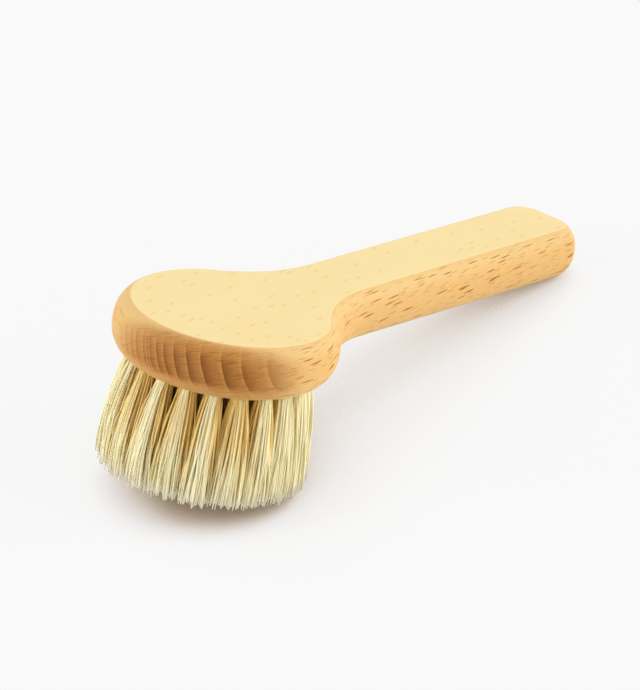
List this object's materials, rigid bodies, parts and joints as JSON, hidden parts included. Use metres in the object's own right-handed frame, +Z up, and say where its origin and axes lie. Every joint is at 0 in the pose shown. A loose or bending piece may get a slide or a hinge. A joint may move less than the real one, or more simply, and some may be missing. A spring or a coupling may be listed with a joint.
{
  "type": "mushroom brush",
  "caption": "Small hand brush for cleaning mushrooms: a one-piece beech head and flat handle with tufts of pale bristle set in drilled holes.",
  "frame": {"origin": "on the floor, under the centre of the box of the brush in its rest pose", "axes": "+Z up; +X towards the end of the handle, along the floor; the brush stands on the bristle tips next to the neck and on the end of the handle, so its top face is tipped 14 degrees down towards +X"},
  "size_m": [0.1326, 0.045, 0.0408],
  "materials": {
    "beech": "oiled, satin",
    "bristle": "pale natural bristle",
    "wire": "flat wire"
  },
  "bodies": {
    "root": {"wood_body": "beech", "tuft_centre": "bristle", "tuft_inner_01": "bristle", "tuft_inner_02": "bristle", "tuft_inner_03": "bristle", "tuft_inner_04": "bristle", "tuft_inner_05": "bristle", "tuft_inner_06": "bristle", "tuft_middle_01": "bristle", "tuft_middle_02": "bristle", "tuft_middle_03": "bristle", "tuft_middle_04": "bristle", "tuft_middle_05": "bristle", "tuft_middle_06": "bristle", "tuft_middle_07": "bristle", "tuft_middle_08": "bristle", "tuft_middle_09": "bristle", "tuft_middle_10": "bristle", "tuft_middle_11": "bristle", "tuft_middle_12": "bristle", "tuft_outer_01": "bristle", "tuft_outer_02": "bristle", "tuft_outer_03": "bristle", "tuft_outer_04": "bristle", "tuft_outer_05": "bristle", "tuft_outer_06": "bristle", "tuft_outer_07": "bristle", "tuft_outer_08": "bristle", "tuft_outer_09": "bristle", "tuft_outer_10": "bristle", "tuft_outer_11": "bristle", "tuft_outer_12": "bristle", "tuft_outer_13": "bristle", "tuft_outer_14": "bristle", "tuft_outer_15": "bristle", "tuft_outer_16": "bristle", "tuft_outer_17": "bristle", "tuft_outer_18": "bristle", "tuft_outer_19": "bristle", "tuft_outer_20": "bristle", "anchor_outer_01": "wire", "anchor_outer_02": "wire", "anchor_outer_03": "wire", "anchor_outer_04": "wire", "anchor_outer_05": "wire", "anchor_outer_06": "wire", "anchor_outer_07": "wire", "anchor_outer_08": "wire", "anchor_outer_09": "wire", "anchor_outer_10": "wire", "anchor_outer_11": "wire", "anchor_outer_12": "wire", "anchor_outer_13": "wire", "anchor_outer_14": "wire", "anchor_outer_15": "wire", "anchor_outer_16": "wire", "anchor_outer_17": "wire", "anchor_outer_18": "wire", "anchor_outer_19": "wire", "anchor_outer_20": "wire"}
  },
  "joints": []
}
